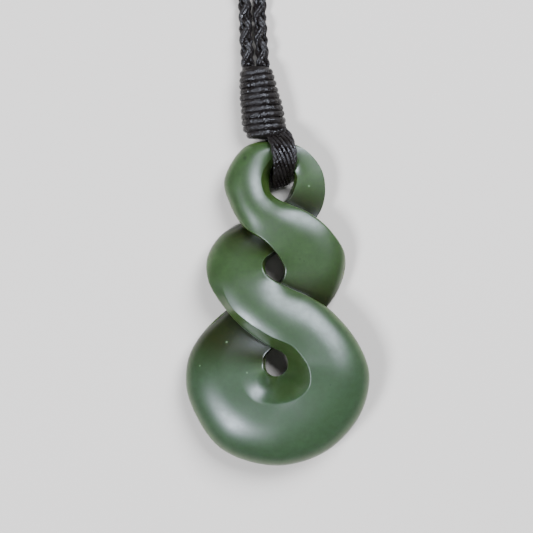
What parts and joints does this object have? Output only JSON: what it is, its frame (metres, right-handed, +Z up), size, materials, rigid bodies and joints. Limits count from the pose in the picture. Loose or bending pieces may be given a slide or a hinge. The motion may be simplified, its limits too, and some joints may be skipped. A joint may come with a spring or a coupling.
{
  "type": "twist pendant",
  "caption": "Carved green stone twist whose strand crosses itself down its length, hung by a bound band of threads on a plaited neck cord that lies as an open loop.",
  "frame": {"origin": "middle of the box round the whole necklace, on the surface it lies on", "axes": "+Z up from the surface, +Y from the stone to the back of the neck, +X to the right seen from above"},
  "size_m": [0.1724, 0.305, 0.0081],
  "materials": {
    "green_stone": "honed to a soft satin gloss, slightly translucent",
    "waxed_cord": "black waxed thread with streaks of shine"
  },
  "bodies": {
    "root": {"twist_stone": "green_stone", "hanger": "waxed_cord", "lashing": "waxed_cord", "neck_cord_left": "waxed_cord", "neck_cord_right": "waxed_cord", "closing_knot": "waxed_cord"}
  },
  "joints": []
}
